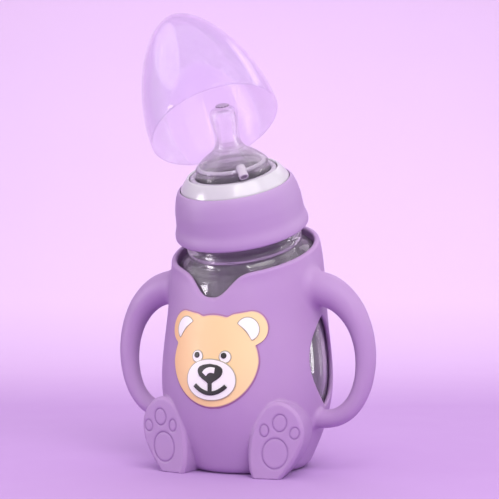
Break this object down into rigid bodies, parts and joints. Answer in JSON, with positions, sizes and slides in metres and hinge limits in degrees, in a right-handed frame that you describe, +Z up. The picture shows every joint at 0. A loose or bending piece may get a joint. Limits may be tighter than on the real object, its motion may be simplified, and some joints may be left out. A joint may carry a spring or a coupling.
{
  "type": "baby bottle",
  "caption": "Glass baby bottle in a soft lilac bear sleeve with loop handles and feet, an angled screw collar, a clear vented teat and a lifted translucent dome cap.",
  "frame": {"origin": "on the floor, in the middle of the flat base, on the upright axis of the bottle's body", "axes": "+Z up; -Y the way the bear face looks, and the way the angled neck leans; +X towards the handle on the bear's left hand, on the right as the face is looked at"},
  "size_m": [0.1302, 0.0851, 0.2175],
  "materials": {
    "lilac_silicone": "satin moulded silicone",
    "peach_silicone": "satin moulded silicone",
    "white_silicone": "satin moulded silicone",
    "black_silicone": "satin moulded silicone",
    "clear_silicone": "clear glossy silicone",
    "lilac_plastic": "satin",
    "white_plastic": "gloss",
    "cap_plastic": "translucent gloss",
    "glass": "clear"
  },
  "bodies": {
    "bottle": {"glass_bottle": "glass", "sleeve_body": "lilac_silicone", "handle_left": "lilac_silicone", "handle_right": "lilac_silicone", "foot_left": "lilac_silicone", "foot_right": "lilac_silicone", "pad_left_heel": "lilac_silicone", "pad_left_toe_middle": "lilac_silicone", "pad_left_toe_inner": "lilac_silicone", "pad_left_toe_outer": "lilac_silicone", "pad_right_heel": "lilac_silicone", "pad_right_toe_middle": "lilac_silicone", "pad_right_toe_inner": "lilac_silicone", "pad_right_toe_outer": "lilac_silicone", "bear_head": "peach_silicone", "bear_muzzle": "white_silicone", "bear_nose": "black_silicone", "nose_shine": "white_silicone", "ear_inset_left": "white_silicone", "ear_inset_right": "white_silicone", "eye_white_left": "white_silicone", "eye_white_right": "white_silicone", "pupil_left": "black_silicone", "pupil_right": "black_silicone", "mouth_smile": "black_silicone", "mouth_stem": "black_silicone"},
    "teat_unit": {"teat": "clear_silicone", "vent_valve": "clear_silicone"},
    "screw_collar": {"collar_shell": "lilac_plastic", "collar_core": "white_plastic"},
    "cap": {"dome_cap": "cap_plastic"}
  },
  "joints": [
    {"name": "collar_climb", "type": "slide", "parent": "bottle", "child": "teat_unit", "axis": [0, -0.3795, 0.9252], "range_m": [0, 0.006]},
    {"name": "collar_turn", "type": "hinge", "parent": "teat_unit", "child": "screw_collar", "pos_m": [0, 0, 0.097], "axis": [0, -0.3795, 0.9252], "range_deg": [0, 540]},
    {"name": "cap_swing", "type": "hinge", "parent": "teat_unit", "child": "cap", "pos_m": [-0.03535, 0.03128, 0.13177], "axis": [0.766, 0.5947, 0.2439], "range_deg": [0, 47.3]}
  ],
  "couplings": [
    {"joint": "collar_climb", "follows": "collar_turn", "m_per_rad": 0.00063662}
  ]
}
